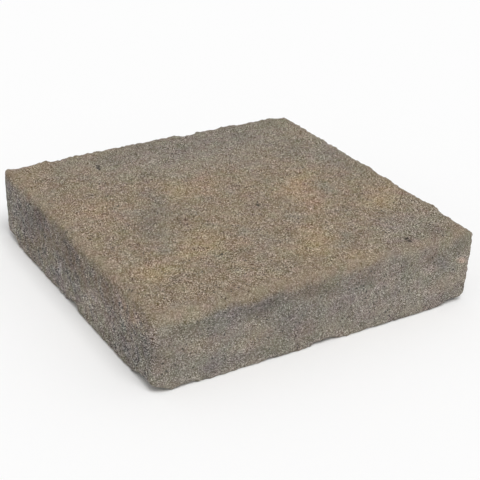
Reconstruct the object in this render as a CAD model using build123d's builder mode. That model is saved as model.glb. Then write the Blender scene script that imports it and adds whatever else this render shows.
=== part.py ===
from build123d import *
from collections import namedtuple
import os

# Square concrete paver, dry-pressed in one piece and tumbled: worn round the wearing face, with
# spalls along its arrises and knocked-off corners, most of them round the bed.
# Origin at the middle of the bed face, +Z up to the wearing face, sides square to X and Y.

# Driving dimensions, in millimetres
length = 267.0  # along X, ten and a half inches
width = 267.0  # along Y
thickness = 60.0  # bed face to wearing face, two and three eighths inches
corner_radius = 5.0  # worn upright corners, in plan
wearing_arris_radius = 5.0  # rounding all round the wearing face
bed_arris_chamfer = 1.0  # slight wear all round the bed face

# A spall is a flake lost from an arris. Along the side, seen from outside with +Z up, it runs in
# from `start`, measured from the middle of the side, keeps its full size over `flat`, and runs out.
# `rise` is its size up or down the side, `bite` its size across the bed or the wearing face.
Spall = namedtuple("Spall", "side arris start run_in flat run_out rise bite")
spalls = [
    Spall("front", "bed", start=-126.0, run_in=9.0, flat=14.0, run_out=9.0, rise=2.6, bite=4.0),
    Spall("front", "bed", start=-10.0, run_in=4.0, flat=16.0, run_out=9.0, rise=3.6, bite=5.0),
    Spall("front", "bed", start=100.0, run_in=18.0, flat=20.0, run_out=5.0, rise=4.8, bite=8.0),
    Spall("left", "bed", start=96.0, run_in=16.0, flat=26.0, run_out=5.0, rise=6.8, bite=8.0),
    Spall("left", "bed", start=-15.0, run_in=15.0, flat=9.0, run_out=2.0, rise=5.8, bite=6.0),
    Spall("left", "bed", start=-36.0, run_in=6.0, flat=16.0, run_out=5.0, rise=2.2, bite=3.0),
    Spall("left", "bed", start=-78.0, run_in=7.0, flat=5.0, run_out=9.0, rise=2.4, bite=3.0),
    Spall("left", "bed", start=-143.0, run_in=5.0, flat=22.0, run_out=12.0, rise=6.8, bite=7.0),
    Spall("back", "bed", start=22.0, run_in=5.0, flat=14.0, run_out=11.0, rise=4.2, bite=5.0),
    Spall("back", "bed", start=-70.0, run_in=10.0, flat=9.0, run_out=4.0, rise=3.0, bite=4.0),
    Spall("right", "bed", start=-52.0, run_in=3.0, flat=12.0, run_out=14.0, rise=4.6, bite=5.5),
    Spall("right", "bed", start=48.0, run_in=8.0, flat=8.0, run_out=8.0, rise=2.6, bite=3.5),
    Spall("back", "wearing", start=103.0, run_in=6.0, flat=15.0, run_out=8.0, rise=3.2, bite=6.5),
    Spall("back", "wearing", start=75.0, run_in=6.0, flat=12.0, run_out=7.0, rise=3.2, bite=6.6),
    Spall("back", "wearing", start=-46.0, run_in=5.0, flat=15.0, run_out=5.0, rise=4.0, bite=8.6),
    Spall("back", "wearing", start=-70.0, run_in=6.0, flat=17.0, run_out=4.0, rise=3.0, bite=6.4),
    Spall("back", "wearing", start=-124.0, run_in=8.0, flat=32.0, run_out=14.0, rise=3.6, bite=7.4),
    Spall("right", "wearing", start=-141.0, run_in=10.0, flat=32.0, run_out=16.0, rise=4.5, bite=6.5),
    Spall("right", "wearing", start=-82.0, run_in=8.0, flat=38.0, run_out=10.0, rise=3.4, bite=4.9),
]
spall_overcut = 0.25  # how far a cut runs on past the block's faces, as a share of the spall's size

# A knocked-off corner is a flat break: how far it runs along X and Y, and up or down the corner.
# Where `rise` is more than the thickness, the corner is worn to a taper over its whole height.
CornerBreak = namedtuple("CornerBreak", "side_x side_y arris run_x run_y rise")
corner_breaks = [
    CornerBreak(side_x=-1, side_y=-1, arris="bed", run_x=17.0, run_y=21.0, rise=7.8),
    CornerBreak(side_x=1, side_y=-1, arris="bed", run_x=16.0, run_y=24.0, rise=9.0),
    CornerBreak(side_x=1, side_y=-1, arris="bed", run_x=4.7, run_y=7.8, rise=90.0),
    CornerBreak(side_x=-1, side_y=1, arris="bed", run_x=20.0, run_y=16.0, rise=8.0),
    CornerBreak(side_x=1, side_y=1, arris="bed", run_x=18.0, run_y=22.0, rise=7.0),
    CornerBreak(side_x=1, side_y=1, arris="wearing", run_x=28.0, run_y=15.0, rise=5.5),
]

# Where the arrises lie: each side's outward direction and distance from the middle of the block,
# and each arris's height and its direction up or down into the block
outward = {
    "front": Vector(0, -1, 0),
    "right": Vector(1, 0, 0),
    "back": Vector(0, 1, 0),
    "left": Vector(-1, 0, 0),
}
reach = {"front": width / 2, "right": length / 2, "back": width / 2, "left": length / 2}
arris_height = {"bed": 0.0, "wearing": thickness}
inward = {"bed": Vector(0, 0, 1), "wearing": Vector(0, 0, -1)}


def arris_point(spall, along):
    """The point that lies `along` from the middle of the spall's side, on the unworn arris."""
    out = outward[spall.side]
    point = out * reach[spall.side] + Vector(0, 0, 1).cross(out) * along
    return point + Vector(0, 0, arris_height[spall.arris])


def spall_section(spall, along):
    """The triangle that the spall takes off the arris, in the plane square to the arris."""
    out = outward[spall.side]
    plane = Plane(arris_point(spall, along), x_dir=out, z_dir=out.cross(inward[spall.arris]))
    over_bite = spall_overcut * spall.bite
    over_rise = spall_overcut * spall.rise
    with BuildSketch(plane, mode=Mode.PRIVATE) as section:
        with BuildLine():
            Polyline(
                (over_bite, spall.rise + over_rise),
                (-spall.bite - over_bite, -over_rise),
                (over_bite, -over_rise),
                close=True,
            )
        make_face()
    return section.sketch


with BuildPart() as paver:
    with BuildSketch():
        RectangleRounded(length, width, corner_radius)
    extrude(amount=thickness)
    fillet(paver.faces().sort_by(Axis.Z)[-1].edges(), wearing_arris_radius)
    chamfer(paver.faces().sort_by(Axis.Z)[0].edges(), bed_arris_chamfer)

    for spall in spalls:
        flat_start = spall.start + spall.run_in
        flat_end = flat_start + spall.flat
        loft(
            sections=[
                Vertex(*arris_point(spall, spall.start)),
                spall_section(spall, flat_start),
                spall_section(spall, flat_end),
                Vertex(*arris_point(spall, flat_end + spall.run_out)),
            ],
            ruled=True,
            mode=Mode.SUBTRACT,
        )

    for corner in corner_breaks:
        into_block = inward[corner.arris].Z
        break_plane = Plane(
            origin=(
                corner.side_x * length / 2,
                corner.side_y * width / 2,
                arris_height[corner.arris] + into_block * corner.rise,
            ),
            z_dir=(
                corner.side_x / corner.run_x,
                corner.side_y / corner.run_y,
                -into_block / corner.rise,
            ),
        )
        split(bisect_by=break_plane, keep=Keep.BOTTOM)

paver.part.label = "paver"

os.makedirs("parts", exist_ok=True)
export_step(paver.part, "parts/paver.step")
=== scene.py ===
import math

import bpy
import numpy as np
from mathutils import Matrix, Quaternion, Vector


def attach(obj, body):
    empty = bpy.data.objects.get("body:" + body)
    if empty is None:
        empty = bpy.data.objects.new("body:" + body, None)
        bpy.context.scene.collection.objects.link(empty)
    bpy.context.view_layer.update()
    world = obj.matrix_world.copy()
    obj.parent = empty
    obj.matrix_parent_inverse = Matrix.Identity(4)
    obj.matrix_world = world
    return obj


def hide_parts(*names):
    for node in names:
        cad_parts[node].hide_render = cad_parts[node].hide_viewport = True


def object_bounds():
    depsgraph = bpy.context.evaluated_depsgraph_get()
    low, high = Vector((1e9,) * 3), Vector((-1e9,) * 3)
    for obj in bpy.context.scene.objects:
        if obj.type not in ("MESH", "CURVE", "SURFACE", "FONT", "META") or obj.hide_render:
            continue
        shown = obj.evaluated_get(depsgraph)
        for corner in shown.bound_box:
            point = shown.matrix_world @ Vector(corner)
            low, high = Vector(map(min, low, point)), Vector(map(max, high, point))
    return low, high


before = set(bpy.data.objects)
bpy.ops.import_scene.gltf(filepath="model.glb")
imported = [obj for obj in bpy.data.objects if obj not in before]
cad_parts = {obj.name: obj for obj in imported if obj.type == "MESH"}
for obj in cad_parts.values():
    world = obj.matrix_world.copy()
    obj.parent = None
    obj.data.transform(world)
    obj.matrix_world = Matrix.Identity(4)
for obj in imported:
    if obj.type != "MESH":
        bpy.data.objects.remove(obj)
cadLow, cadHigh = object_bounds()
mm = 0.001
print("frame loaded, box in mm", [round(side / mm, 1) for side in cadHigh - cadLow])

block = {
    "merge": 0.01 * mm,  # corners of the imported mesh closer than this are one
    "voxel": 1.5 * mm,  # spacing of the worked mesh
    "arrisReach": 9 * mm,  # how far from an arris the crumbling goes
    "rimReach": 14 * mm,  # how far from the wearing arris the face is rubbed smooth
    "wear": {"bed": 0.75, "wearing": 0.95, "upright": 0.12},  # how much each kind of arris crumbles
    "bedSkin": 0.6 * mm,  # mesh this close to the bed stays flat
    # relief pressed into the faces: size of its lumps, depth, and the share of it that is pressed in
    "swell": {"lump": 40 * mm, "depth": 0.8 * mm, "level": 0.52},
    "grain": {"lump": 3.4 * mm, "depth": 1.8 * mm, "level": 0.56},
    "crumble": {"lump": 5 * mm, "depth": 4.0 * mm, "level": 0.51},
    "reliefDetail": 3,  # finer steps within each relief
    # open pores in the wearing face, in mm and degrees: x, y, half length, half width, turn
    "pores": [
        (-64, 101, 8, 2.3, 82),
        (79, -122, 8, 2.3, 82),
        (-50, -78, 5, 1.8, 15),
        (14, -21, 4, 2.2, 60),
    ],
    "poreSlope": 1.6,  # how steeply the wall of a pore falls
    "poreDepth": 2.0 * mm,
}


def onlyThis(obj):
    bpy.ops.object.select_all(action="DESELECT")
    obj.select_set(True)
    bpy.context.view_layer.objects.active = obj


def smooth(share):
    share = np.clip(share, 0.0, 1.0)
    return share * share * (3.0 - 2.0 * share)


def weightGroup(obj, name, weights):
    group = obj.vertex_groups.new(name=name)
    steps = 20  # one call for each twentieth
    for step in range(steps + 1):
        picked = np.nonzero(np.round(weights * steps) == step)[0]
        group.add(picked.tolist(), step / steps, "REPLACE")


def pushBy(obj, name, depth, level, group, lump=None):
    onlyThis(obj)
    bpy.ops.object.modifier_add(type="DISPLACE")
    push = obj.modifiers[-1]
    push.strength = depth
    push.mid_level = level
    push.vertex_group = group
    if lump:
        push.texture_coords = "LOCAL"
        push.texture = bpy.data.textures.new(name, type="CLOUDS")
        push.texture.noise_scale = lump
        push.texture.noise_depth = block["reliefDetail"]
    bpy.ops.object.modifier_apply(modifier=push.name)


def corners(obj):
    places = np.empty(len(obj.data.vertices) * 3)
    obj.data.vertices.foreach_get("co", places)
    return places.reshape(-1, 3)


def copyOfNode(name, pieceName):
    onlyThis(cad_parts[name])
    bpy.ops.object.duplicate()
    piece = bpy.context.active_object
    piece.name = pieceName
    piece.parent = None
    for key in [key for key in piece.keys() if key.startswith("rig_")]:  # the copy is a new piece
        del piece[key]
    bpy.ops.object.mode_set(mode="EDIT")
    bpy.ops.mesh.select_all(action="SELECT")
    bpy.ops.mesh.remove_doubles(threshold=block["merge"])
    bpy.ops.object.mode_set(mode="OBJECT")
    return piece


def hollows(places):
    hollow = np.zeros(len(places))
    for x, y, length, width, turn in block["pores"]:
        away = (places[:, :2] - np.array((x, y)) * mm) / mm
        angle = math.radians(turn)
        along = away[:, 0] * math.cos(angle) + away[:, 1] * math.sin(angle)
        across = away[:, 1] * math.cos(angle) - away[:, 0] * math.sin(angle)
        near = 1.0 - np.hypot(along / length, across / width)
        near[places[:, 2] < cadHigh.z - block["arrisReach"]] = 0.0
        hollow = np.maximum(hollow, smooth(near * block["poreSlope"]))
    return hollow


def makeBlock():
    paver = copyOfNode("paver", "paver_block")
    bpy.ops.object.modifier_add(type="REMESH")
    remesh = paver.modifiers[-1]
    remesh.mode = "VOXEL"
    remesh.voxel_size = block["voxel"]
    bpy.ops.object.modifier_apply(modifier=remesh.name)
    print("block remeshed:", len(paver.data.polygons), "faces")

    # nearness to the level arrises and to the upright ones, from the distances to the outer planes
    places = corners(paver)
    low, high = np.array(cadLow), np.array(cadHigh)
    toSideX, toSideY, toTopOrBed = np.minimum(places - low, high - places).T
    toLevel = np.maximum(np.minimum(toSideX, toSideY), toTopOrBed)
    toUpright = np.maximum(toSideX, toSideY)
    upperHalf = places[:, 2] > cadHigh.z / 2
    wear = block["wear"]
    levelWear = np.where(upperHalf, wear["wearing"], wear["bed"])
    level = smooth(1.0 - toLevel / block["arrisReach"]) * levelWear
    upright = smooth(1.0 - toUpright / block["arrisReach"]) * wear["upright"]
    offBed = smooth((places[:, 2] - block["bedSkin"]) / block["bedSkin"])
    rim = smooth(1.0 - toLevel / block["rimReach"]) * upperHalf
    hollow = hollows(places)
    weightGroup(paver, "faces", offBed)
    weightGroup(paver, "arris", np.maximum(level, upright))
    weightGroup(paver, "pores", hollow)

    for name, group in (("swell", "faces"), ("grain", "faces"), ("crumble", "arris")):
        relief = block[name]
        pushBy(paver, name, relief["depth"], relief["level"], group, relief["lump"])
    pushBy(paver, "pores", -block["poreDepth"], 0.0, "pores")

    # nothing stands out of the block's own box
    inside = np.clip(corners(paver), low, high)
    paver.data.vertices.foreach_set("co", inside.ravel())
    paver.data.update()
    for name, values in (("hollow", hollow), ("rim", rim)):
        attribute = paver.data.attributes.new(name, "FLOAT", "POINT")
        attribute.data.foreach_set("value", values.astype(np.float32))
    onlyThis(paver)
    bpy.ops.object.shade_smooth()

    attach(paver, "root")
    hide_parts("paver")
    print("block worn:", len(paver.data.vertices), "points")
    return paver


concrete = {
    "pigments": {
        "tan": (0.262, 0.2075, 0.146),
        "ochre": (0.350, 0.270, 0.155),
        "rust": (0.360, 0.250, 0.172),
        "umber": (0.150, 0.117, 0.090),
        "sienna": (0.195, 0.140, 0.092),
        "olive": (0.162, 0.151, 0.112),
        "stone": (0.256, 0.222, 0.180),
        "flint": (0.2540, 0.2250, 0.1835),
        "smoke": (0.160, 0.144, 0.118),
        "slate": (0.172, 0.157, 0.147),
        "charcoal": (0.108, 0.095, 0.088),
        "ash": (0.345, 0.305, 0.262),
        "straw": (0.350, 0.285, 0.205),
        "pebble": (0.400, 0.300, 0.240),
        # near black, painted shade for the pores
        "chalk": (0.390, 0.356, 0.328),
        "paintedPoreShade": (0.045, 0.040, 0.035),
    },
    "faceDepth": (49 * mm, 61 * mm),  # heights between which the sides turn into the wearing face
    "roughness": 0.93,
    "specular": 0.25,
    # clouds of pigment, in mm and degrees, each laid over the ones before it
    # on the wearing face: x, y, half length, half width, turn, pigment, strength
    "wearingClouds": [
        (25, 100, 150, 62, 0, "stone", 1.40),
        (112, 35, 40, 60, 0, "stone", 1.00),
        (92, -108, 60, 36, 20, "stone", 1.20),
        (-90, 110, 34, 14, 60, "smoke", 0.40),
        (-46, 110, 30, 18, 0, "smoke", 0.55),
        (68, 106, 26, 16, 30, "charcoal", 0.30),
        (8, 92, 34, 14, 50, "smoke", 0.28),
        (-42, 68, 30, 18, 0, "olive", 0.30),
        (112, 118, 30, 20, 0, "olive", 0.55),
        (96, 58, 34, 18, 50, "smoke", 0.50),
        (118, 34, 24, 26, 0, "smoke", 0.45),
        (122, -4, 14, 24, 0, "olive", 0.50),
        (-64, 2, 58, 17, 60, "slate", 0.34),
        (-62, 4, 50, 15, 60, "olive", 0.34),
        (-78, -20, 28, 13, 60, "charcoal", 0.32),
        (104, -124, 30, 12, 0, "charcoal", 0.35),
        (74, -124, 18, 10, 0, "umber", 0.40),
        (44, -108, 18, 14, 0, "umber", 0.25),
        (-118, 60, 20, 40, 0, "umber", 0.20),
        (-46, -10, 34, 10, 60, "umber", 0.35),
        (10, -24, 18, 12, 30, "umber", 0.25),
        (-34, -84, 20, 10, 0, "umber", 0.30),
        (-4, -110, 16, 12, 0, "umber", 0.20),
        (-56, -58, 34, 24, 50, "ochre", 0.55),
        (-68, -68, 30, 16, 10, "ochre", 0.30),
        (-104, -82, 26, 16, 0, "ochre", 0.60),
        (16, -98, 38, 20, 50, "ochre", 0.62),
        (24, -88, 20, 14, 20, "ochre", 0.30),
        (28, -126, 24, 12, 0, "ochre", 0.45),
        (70, 4, 30, 15, 40, "ochre", 0.60),
        (46, -10, 24, 16, 30, "ochre", 0.50),
        (100, -60, 20, 18, 0, "ochre", 0.65),
        (-30, 30, 20, 26, 0, "ochre", 0.40),
        (60, -10, 26, 18, 60, "rust", 0.50),
        (52, -36, 34, 17, 65, "rust", 0.62),
        (114, -46, 20, 16, 0, "rust", 0.45),
        (-104, 24, 30, 34, 0, "rust", 0.45),
        (-4, 26, 18, 30, -20, "rust", 0.40),
        (-112, -72, 26, 14, 0, "rust", 0.35),
        (24, -74, 20, 12, 20, "rust", 0.45),
        (-30, -70, 16, 10, 0, "rust", 0.30),
        (24, 118, 120, 44, 0, "smoke", 0.40),
        (92, 92, 40, 24, 0, "smoke", 0.20),
        (72, 124, 36, 18, 0, "smoke", 0.32),
        (-12, 122, 26, 18, 0, "smoke", 0.30),
        (108, -108, 26, 16, 0, "smoke", 0.22),
        (-126, 0, 18, 170, 0, "straw", 0.25),
        (-30, -122, 120, 18, 0, "straw", 0.12),
    ],
    # on the front side: x, z, half length, half height, turn, pigment, strength
    "frontClouds": [
        (-60, 45, 60, 11, 0, "slate", 0.50),
        (-45, 45, 34, 13, 0, "charcoal", 0.70),
        (-76, 44, 20, 11, 0, "slate", 0.48),
        (-92, 40, 16, 10, 0, "olive", 0.25),
        (-110, 46, 17, 11, 0, "olive", 0.85),
        (-108, 45, 14, 9, 0, "umber", 0.35),
        (-12, 48, 26, 9, 0, "umber", 0.75),
        (6, 44, 22, 12, 0, "olive", 0.50),
        (-26, 30, 26, 16, 0, "slate", 0.85),
        (-20, 18, 22, 9, 0, "charcoal", 0.30),
        (10, 26, 18, 16, 0, "slate", 0.50),
        (36, 46, 20, 9, 0, "umber", 0.50),
        (68, 41, 17, 12, 0, "olive", 0.55),
        (95, 46, 14, 9, 0, "umber", 0.75),
        (106, 37, 20, 7, -35, "slate", 0.80),
        (120, 49, 16, 10, 0, "olive", 0.78),
        (-128, 28, 14, 18, 0, "umber", 0.40),
        (-114, 18, 13, 13, 0, "slate", 0.50),
        (-88, 10, 26, 11, 0, "slate", 0.50),
        (-62, 8, 16, 10, 0, "slate", 0.50),
        (-40, 10, 17, 9, 0, "olive", 0.50),
        (-10, 12, 18, 9, 0, "umber", 0.20),
        (20, 12, 14, 9, 0, "olive", 0.25),
        (84, 16, 46, 14, 0, "ash", 0.17),
        (110, 20, 26, 10, 0, "rust", 0.20),
        (-55, 22, 18, 12, 0, "rust", 0.20),
        (-95, 29, 20, 8, 0, "tan", 0.50),
        (-84, 30, 20, 26, 0, "ash", 0.12),
        (-56, 55, 110, 6, 0, "tan", 0.75),
        (-104, 54, 30, 6, 0, "straw", 0.45),
        (48, 32, 24, 12, 0, "ash", 0.15),
        (34, 22, 16, 18, 0, "ash", 0.20),
    ],
    # on the left side: y, z, half length, half height, turn, pigment, strength
    "leftClouds": [
        (64, 42, 28, 15, -10, "charcoal", 0.75),
        (55, 53, 18, 8, 0, "charcoal", 0.60),
        (36, 48, 18, 9, 0, "slate", 0.70),
        (96, 32, 28, 14, 0, "slate", 0.70),
        (118, 48, 14, 11, 0, "slate", 0.80),
        (94, 42, 16, 7, 0, "charcoal", 0.30),
        (120, 28, 12, 12, 0, "slate", 0.40),
        (2, 46, 22, 15, 0, "charcoal", 0.55),
        (-12, 38, 22, 15, 0, "umber", 0.50),
        (-62, 46, 24, 13, 0, "umber", 0.85),
        (14, 28, 16, 13, 0, "slate", 0.70),
        (-12, 18, 15, 8, 0, "charcoal", 0.15),
        (-38, 27, 34, 10, -40, "ash", 1.15),
        (98, 50, 16, 7, -30, "ash", 0.45),
        (-88, 18, 30, 17, 0, "slate", 0.60),
        (-126, 32, 20, 15, 0, "charcoal", 0.60),
        (-100, 28, 12, 9, 0, "umber", 0.40),
        (62, 18, 40, 11, -15, "olive", 0.65),
        (46, 34, 34, 7, -30, "olive", 0.35),
        (92, 14, 22, 11, 0, "umber", 0.60),
        (70, 22, 20, 8, -25, "rust", 0.20),
        (30, 12, 22, 11, 0, "slate", 0.75),
        (-36, 44, 18, 11, 0, "olive", 0.15),
        (-104, 47, 34, 13, 0, "tan", 1.00),
        (-106, 47, 20, 9, 0, "rust", 0.35),
        (30, 50, 115, 9, 0, "umber", 0.30),
        (-30, 42, 85, 22, 0, "sienna", 0.46),
        (34, 38, 62, 24, 0, "sienna", 0.28),
        # a faint pale band along the foot of the left side: painted light against the shade near the floor
        (0, 14, 170, 16, 0, "ash", 0.10),
        (-110, 10, 22, 12, 0, "ash", 0.14),
    ],
    "cloudDepth": 14 * mm,  # how far a cloud reaches into the block and round its arrises
    # two stones that show in the sides, and a painted shadow beside one: the side, and then as the clouds
    "pebblesAndPaintedShadow": [
        ("front", 123, 36, 6.5, 3.2, -20, "pebble", 1.30),
        ("left", 20, 22, 8, 6, -40, "chalk", 1.20),
        # painted shadow beside the chalk stone
        ("left", 13, 23, 3, 5, -10, "charcoal", 1.20),
    ],
    "pebbleAndShadowDepth": 5 * mm,
    # ground colours: size of their drift, and the span of it that turns one pigment into the other
    "drift": {"lump": 30 * mm, "detail": 4.0, "sides": (0.15, 0.60), "wearing": (0.20, 0.55)},
    "wander": {"lump": 16 * mm, "detail": 3.0, "reach": 12 * mm},  # how raggedly the clouds end
    # below, faces gives the level on the faces square to X, to Y and to Z
    "mottle": {"lump": 8 * mm, "detail": 3.0, "faces": (0.60, 0.06, 0.46)},  # lighter and darker blotches
    # pale sand in a darker paste: grain size, the share of cells that is paste, the share below
    # which a cell isn't fully pale, and the shades of paste and pale grains
    "sand": {
        "grain": 0.36 * mm,
        "paste": 0.62,
        "pale": 0.89,
        "shades": (-0.62, 2.0),
        # the grain is the sand's own; its higher level on the side square to X also stands in for relief
        # shading under the grazing sun
        "faces": (1.28, 0.69, 0.99),
    },
    # coarser and finer stretches of sand
    "clump": {"lump": 9 * mm, "detail": 1.0, "span": (0.3, 0.7), "levels": (0.75, 1.25)},
    # scattered pits darkened with painted shade, and pale nodules: size, share of each, and shade
    "specks": {"size": 1.0 * mm, "share": 0.02, "shade": 0.95},
    # how the shaded pits gather, as levels of their share
    "gather": {"lump": 24 * mm, "detail": 2.0, "span": (0.42, 0.66), "levels": (0.3, 3.0)},
    "rubbed": 0.40,  # share of the sand's shade that is rubbed off at the rim
    "greyShare": 0.5,  # share of the sand's shade that is plain grey, the rest being of the colour
    "darkest": 0.02,  # no grain goes darker than this
    # stray hues in the mix, by channel
    "tint": {"lump": 11 * mm, "detail": 2.0, "levels": (0.13, 0.22, 0.13), "faces": (1.35, 1.1, 1.15)},
    # painted shade in the pores: size and strength of the ragged edge, the depths it sets in between, its
    # share
    "paintedPoreShade": {"lump": 2.0 * mm, "detail": 2.0, "gain": 4.4, "lift": -1.4, "span": (0.2, 0.7), "share": 0.92},
    "bump": {"strength": 0.5, "depth": 0.3 * mm},
}

noiseMiddle = 0.5  # mean of Blender's noise
noiseRough = 0.55


def addNode(tree, kind, **settings):
    node = tree.nodes.new(kind)
    for name, value in settings.items():
        setattr(node, name, value)
    return node


def putIn(tree, socket, value):
    if isinstance(value, bpy.types.NodeSocket):
        tree.links.new(value, socket)
    else:
        socket.default_value = value


def feed(tree, node, **inputs):
    for name, value in inputs.items():
        putIn(tree, node.inputs[name.replace("_", " ")], value)
    return node


def noiseOf(tree, place, size, detail):
    node = addNode(tree, "ShaderNodeTexNoise")
    feed(tree, node, Vector=place, Scale=1.0 / size, Detail=detail, Roughness=noiseRough)
    return node.outputs


def mathOf(tree, operation, *values):
    node = addNode(tree, "ShaderNodeMath", operation=operation)
    for socket, value in zip(node.inputs, values):
        putIn(tree, socket, value)
    return node.outputs[0]


def vectorOf(tree, operation, *values):
    node = addNode(tree, "ShaderNodeVectorMath", operation=operation)
    for socket, value in zip(node.inputs, values):
        putIn(tree, socket, value)
    return node.outputs["Vector"]


def scaleOf(tree, vector, scale):
    node = addNode(tree, "ShaderNodeVectorMath", operation="SCALE")
    feed(tree, node, Vector=vector, Scale=scale)
    return node.outputs["Vector"]


def facesOf(tree, facing, levels):
    node = addNode(tree, "ShaderNodeVectorMath", operation="DOT_PRODUCT")
    putIn(tree, node.inputs[0], facing)
    putIn(tree, node.inputs[1], levels)
    return node.outputs["Value"]


def rangeOf(tree, value, low, high, toLow=0.0, toHigh=1.0):
    node = addNode(tree, "ShaderNodeMapRange", interpolation_type="SMOOTHSTEP")
    feed(tree, node, Value=value, From_Min=low, From_Max=high, To_Min=toLow, To_Max=toHigh)
    return node.outputs["Result"]


def mixOf(tree, share, first, second, blend="MIX"):
    node = addNode(tree, "ShaderNodeMix", data_type="RGBA", blend_type=blend)
    sockets = (node.inputs[0], node.inputs[6], node.inputs[7])  # the share and the two colours
    for socket, value in zip(sockets, (share, first, second)):
        putIn(tree, socket, (*value, 1.0) if isinstance(value, tuple) else value)
    return node.outputs[2]


def greyOf(tree, value):
    node = addNode(tree, "ShaderNodeCombineXYZ")
    feed(tree, node, X=value, Y=value, Z=value)
    return node.outputs["Vector"]


def cellsOf(tree, place, size):
    cells = addNode(tree, "ShaderNodeTexVoronoi", feature="F1")
    feed(tree, cells, Vector=place, Scale=1.0 / size)
    pick = addNode(tree, "ShaderNodeSeparateColor")
    feed(tree, pick, Color=cells.outputs["Color"])
    return pick.outputs[0], cells.outputs["Distance"]


def patchOn(side, across, up, long, tall, turn, depth):
    angle = math.radians(turn)
    if side == "wearing":
        return (across * mm, up * mm, cadHigh.z), (long * mm, tall * mm, depth), (0.0, 0.0, angle)
    if side == "front":
        return (across * mm, cadLow.y, up * mm), (long * mm, depth, tall * mm), (0.0, -angle, 0.0)
    return (cadLow.x, across * mm, up * mm), (depth, long * mm, tall * mm), (angle, 0.0, 0.0)


def cloudOf(tree, place, patch, colour, pigment, strength):
    centre, reach, turn = patch
    spot = addNode(tree, "ShaderNodeMapping", vector_type="TEXTURE")
    feed(tree, spot, Vector=place, Location=centre, Rotation=turn, Scale=reach)
    ball = addNode(tree, "ShaderNodeTexGradient", gradient_type="SPHERICAL")
    feed(tree, ball, Vector=spot.outputs["Vector"])
    share = mathOf(tree, "MULTIPLY", ball.outputs["Fac"], strength)
    return mixOf(tree, share, colour, concrete["pigments"][pigment])


def wanderOf(tree, place):
    wander = concrete["wander"]
    noise = noiseOf(tree, place, wander["lump"], wander["detail"])["Color"]
    shift = vectorOf(tree, "SUBTRACT", noise, (noiseMiddle,) * 3)
    return vectorOf(tree, "MULTIPLY_ADD", shift, (wander["reach"],) * 3, place)


def groundOf(tree, place, wandered):
    pigments = concrete["pigments"]
    drift = concrete["drift"]
    noise = noiseOf(tree, place, drift["lump"], drift["detail"])["Fac"]
    sides = mixOf(tree, rangeOf(tree, noise, *drift["sides"]), pigments["slate"], pigments["flint"])
    wearing = mixOf(tree, rangeOf(tree, noise, *drift["wearing"]), pigments["stone"], pigments["tan"])
    axes = addNode(tree, "ShaderNodeSeparateXYZ")
    feed(tree, axes, Vector=wandered)
    atTop = rangeOf(tree, axes.outputs["Z"], *concrete["faceDepth"])
    return mixOf(tree, atTop, sides, wearing)


def cloudedOf(tree, place, wandered, colour):
    for side in ("wearing", "front", "left"):
        for *shape, pigment, strength in concrete[side + "Clouds"]:
            patch = patchOn(side, *shape, concrete["cloudDepth"])
            colour = cloudOf(tree, wandered, patch, colour, pigment, strength)
    # the stones, and the painted shadow beside one
    for side, *shape, pigment, strength in concrete["pebblesAndPaintedShadow"]:
        patch = patchOn(side, *shape, concrete["pebbleAndShadowDepth"])
        colour = cloudOf(tree, place, patch, colour, pigment, strength)
    return colour


def tintedOf(tree, place, facing, colour):
    tint = concrete["tint"]
    noise = noiseOf(tree, place, tint["lump"], tint["detail"])["Color"]
    hues = vectorOf(tree, "SUBTRACT", noise, (noiseMiddle,) * 3)
    hues = vectorOf(tree, "MULTIPLY", hues, tint["levels"])
    hues = scaleOf(tree, hues, facesOf(tree, facing, tint["faces"]))
    return mixOf(tree, 1.0, colour, mixOf(tree, 1.0, hues, (1.0, 1.0, 1.0), "ADD"), "MULTIPLY")


def specksOf(tree, place):
    specks = concrete["specks"]
    gather = concrete["gather"]
    picks = cellsOf(tree, place, specks["size"])[0]
    crowd = noiseOf(tree, place, gather["lump"], gather["detail"])["Fac"]
    crowd = rangeOf(tree, crowd, *gather["span"], *gather["levels"])
    # the pits are darkened with painted shade and sunk by the bump; the nodules are pale grains
    shadedPits = mathOf(tree, "LESS_THAN", picks, mathOf(tree, "MULTIPLY", crowd, specks["share"]))
    nodules = mathOf(tree, "GREATER_THAN", picks, 1.0 - specks["share"])
    return mathOf(tree, "MULTIPLY", mathOf(tree, "SUBTRACT", nodules, shadedPits), specks["shade"])


def sandOf(tree, place, facing, speck):
    sand = concrete["sand"]
    clump = concrete["clump"]
    grains, domes = cellsOf(tree, place, sand["grain"])
    shade = rangeOf(tree, grains, sand["paste"], sand["pale"], *sand["shades"])
    coarse = noiseOf(tree, place, clump["lump"], clump["detail"])["Fac"]
    coarse = rangeOf(tree, coarse, *clump["span"], *clump["levels"])
    grit = mathOf(tree, "MULTIPLY_ADD", shade, coarse, speck)
    grit = mathOf(tree, "MULTIPLY", grit, facesOf(tree, facing, sand["faces"]))
    rim = addNode(tree, "ShaderNodeAttribute", attribute_name="rim").outputs["Fac"]
    left = rangeOf(tree, rim, 0.0, 1.0, 1.0, 1.0 - concrete["rubbed"])
    return mathOf(tree, "MULTIPLY", grit, left), domes


def mottleOf(tree, place, facing):
    mottle = concrete["mottle"]
    noise = noiseOf(tree, place, mottle["lump"], mottle["detail"])["Fac"]
    spread = mathOf(tree, "SUBTRACT", noise, noiseMiddle)
    return mathOf(tree, "MULTIPLY", spread, facesOf(tree, facing, mottle["faces"]))


def tonedOf(tree, colour, tone):
    grey = concrete["greyShare"]
    bright = addNode(tree, "ShaderNodeRGBToBW")
    feed(tree, bright, Color=colour)
    plain = mathOf(tree, "MULTIPLY", mathOf(tree, "MULTIPLY", tone, grey), bright.outputs[0])
    scaled = scaleOf(tree, colour, mathOf(tree, "MULTIPLY_ADD", tone, 1.0 - grey, 1.0))
    toned = mixOf(tree, 1.0, scaled, greyOf(tree, plain), "ADD")
    return vectorOf(tree, "MAXIMUM", toned, (concrete["darkest"],) * 3)


# darkens the pores with painted shade, ragged at the edge
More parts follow.
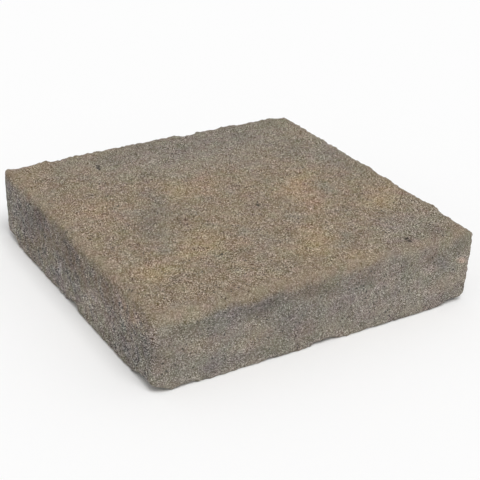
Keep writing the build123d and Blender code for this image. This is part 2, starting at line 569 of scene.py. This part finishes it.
def withPaintedPoreShade(tree, place, colour):
    paintedPoreShade = concrete["paintedPoreShade"]
    hollow = addNode(tree, "ShaderNodeAttribute", attribute_name="hollow").outputs["Fac"]
    ragged = noiseOf(tree, place, paintedPoreShade["lump"], paintedPoreShade["detail"])["Fac"]
    ragged = mathOf(tree, "MULTIPLY_ADD", ragged, paintedPoreShade["gain"], paintedPoreShade["lift"])
    deep = mathOf(tree, "MULTIPLY", hollow, ragged)
    deep = rangeOf(tree, deep, *paintedPoreShade["span"], 0.0, paintedPoreShade["share"])
    return mixOf(tree, deep, colour, concrete["pigments"]["paintedPoreShade"])


def makeConcrete():
    material = bpy.data.materials.new("pressed_concrete")
    material.use_nodes = True
    tree = material.node_tree
    coords = addNode(tree, "ShaderNodeTexCoord").outputs
    place = coords["Object"]
    facing = vectorOf(tree, "MULTIPLY", coords["Normal"], coords["Normal"])  # shares of X, Y and Z
    wandered = wanderOf(tree, place)

    colour = groundOf(tree, place, wandered)
    colour = cloudedOf(tree, place, wandered, colour)
    colour = tintedOf(tree, place, facing, colour)
    speck = specksOf(tree, place)
    grit, domes = sandOf(tree, place, facing, speck)
    colour = tonedOf(tree, colour, mathOf(tree, "ADD", grit, mottleOf(tree, place, facing)))
    # painted shade in the pores
    colour = withPaintedPoreShade(tree, place, colour)

    height = mathOf(tree, "SUBTRACT", speck, domes)
    bump = addNode(tree, "ShaderNodeBump")
    relief = concrete["bump"]
    feed(tree, bump, Strength=relief["strength"], Distance=relief["depth"], Height=height)
    shader = tree.nodes["Principled BSDF"]
    feed(tree, shader, Base_Color=colour, Normal=bump.outputs["Normal"])
    feed(tree, shader, Roughness=concrete["roughness"], Specular_IOR_Level=concrete["specular"])
    print("concrete mixed:", len(tree.nodes), "nodes")
    return material


studio = {
    "skyLevel": 0.5,
    "sunLevel": 1.86,
    "sunSpread": 34,  # degrees, for a soft shadow
    "sunFrom": (-0.04, -0.50, 0.865),  # direction from the block to the sun
    "floorSide": 14.0,  # metres
    "floorColour": (0.97, 0.97, 0.97),
}


def makeStudio():
    bpy.ops.object.select_all(action="DESELECT")
    bpy.ops.mesh.primitive_plane_add(size=studio["floorSide"], location=(0.0, 0.0, cadLow.z))
    floor = bpy.context.active_object
    floor.name = "studio_floor"
    sheet = bpy.data.materials.new("studio_floor")
    sheet.use_nodes = True
    shader = sheet.node_tree.nodes["Principled BSDF"]
    shader.inputs["Base Color"].default_value = (*studio["floorColour"], 1.0)
    shader.inputs["Roughness"].default_value = 1.0
    shader.inputs["Specular IOR Level"].default_value = 0.0
    floor.data.materials.append(sheet)

    aim = Vector(studio["sunFrom"]).to_track_quat("Z", "Y").to_euler()
    bpy.ops.object.light_add(type="SUN", rotation=aim)
    sun = bpy.context.active_object
    sun.name = "studio_sun"
    sun.data.energy = studio["sunLevel"]
    sun.data.angle = math.radians(studio["sunSpread"])

    world = bpy.data.worlds.new("studio_sky")
    bpy.context.scene.world = world
    world.use_nodes = True
    tree = world.node_tree
    ray = addNode(tree, "ShaderNodeLightPath").outputs
    seen = mathOf(tree, "MAXIMUM", ray["Is Camera Ray"], ray["Is Glossy Ray"])
    seen = mathOf(tree, "MAXIMUM", seen, ray["Is Transmission Ray"])
    level = rangeOf(tree, seen, 0.0, 1.0, studio["skyLevel"], 1.0)
    feed(tree, tree.nodes["Background"], Color=(1.0, 1.0, 1.0, 1.0), Strength=level)
    print("studio lit")


view = {
    "lens": 87.93,  # mm, for a square picture
    "sensor": 36.0,  # mm
    "place": (-0.41698, -0.70622, 0.44406),
    "aim": (0.00098, -0.01662, 0.03),
    "roll": 1.32,  # degrees
}


def makeCamera():
    bpy.ops.object.camera_add(location=view["place"])
    camera = bpy.context.active_object
    camera.name = "photo_camera"
    camera.data.lens = view["lens"]
    camera.data.sensor_width = view["sensor"]
    look = (Vector(view["aim"]) - Vector(view["place"])).to_track_quat("-Z", "Y")
    camera.rotation_euler = (look @ Quaternion((0.0, 0.0, 1.0), math.radians(view["roll"]))).to_euler()
    bpy.context.scene.camera = camera
    print("camera set")


paverBlock = makeBlock()
paverBlock.data.materials.clear()
paverBlock.data.materials.append(makeConcrete())
makeStudio()
makeCamera()
bpy.context.scene.view_settings.view_transform = "Standard"
